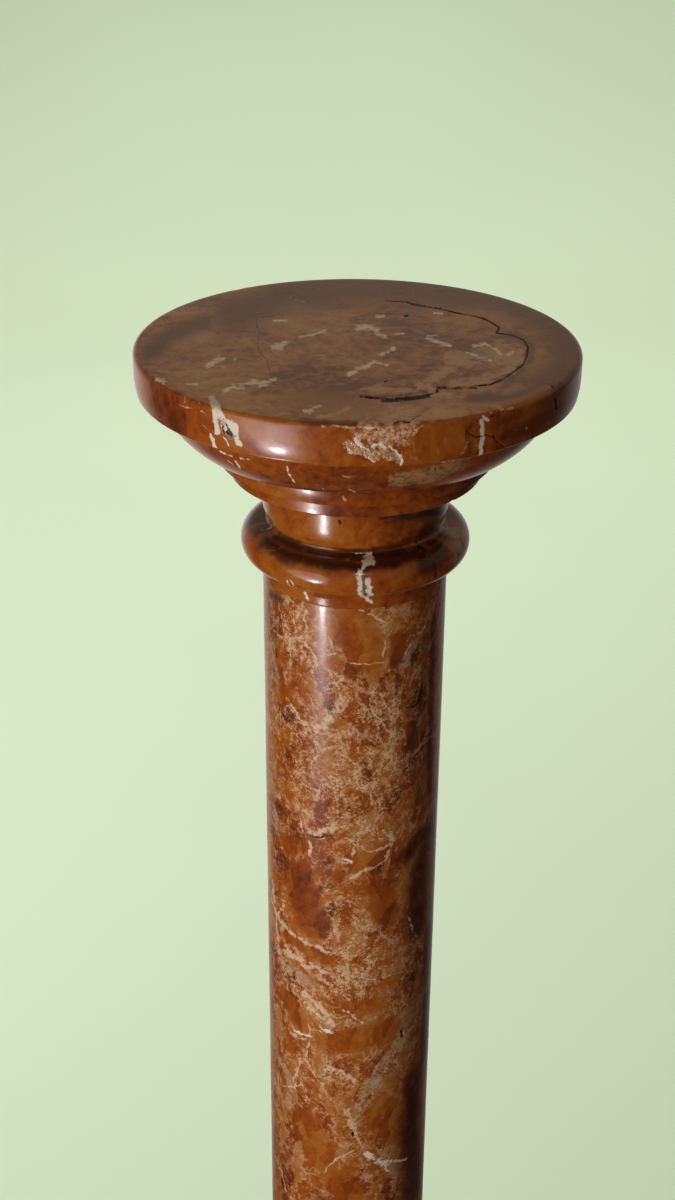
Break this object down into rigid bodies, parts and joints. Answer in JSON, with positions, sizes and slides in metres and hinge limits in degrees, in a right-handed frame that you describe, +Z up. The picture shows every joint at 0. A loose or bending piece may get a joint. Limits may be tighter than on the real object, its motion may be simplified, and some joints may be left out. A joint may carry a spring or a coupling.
{
  "type": "marble pedestal column",
  "caption": "Round polished marble column with a moulded top, a torus ring at the neck, a plain shaft and a turned base on a round plinth; it carries a bust or plant.",
  "frame": {"origin": "on the floor, at the centre of the plinth's underside", "axes": "+Z up along the column's axis; -Y is the side towards the viewer in the picture"},
  "size_m": [0.3, 0.3, 1.0502],
  "materials": {
    "top_marble": "polished orange-brown breccia marble with cream veins and dark cracks",
    "neck_marble": "polished orange-brown marble, nearly plain, with one white vein",
    "shaft_marble": "polished orange-brown breccia marble with cream and tan fragments",
    "base_marble": "polished orange-brown breccia marble"
  },
  "bodies": {
    "root": {"plinth": "base_marble", "base_moulding": "base_marble", "shaft": "shaft_marble", "neck_and_torus": "neck_marble", "moulded_top": "top_marble"}
  },
  "joints": []
}
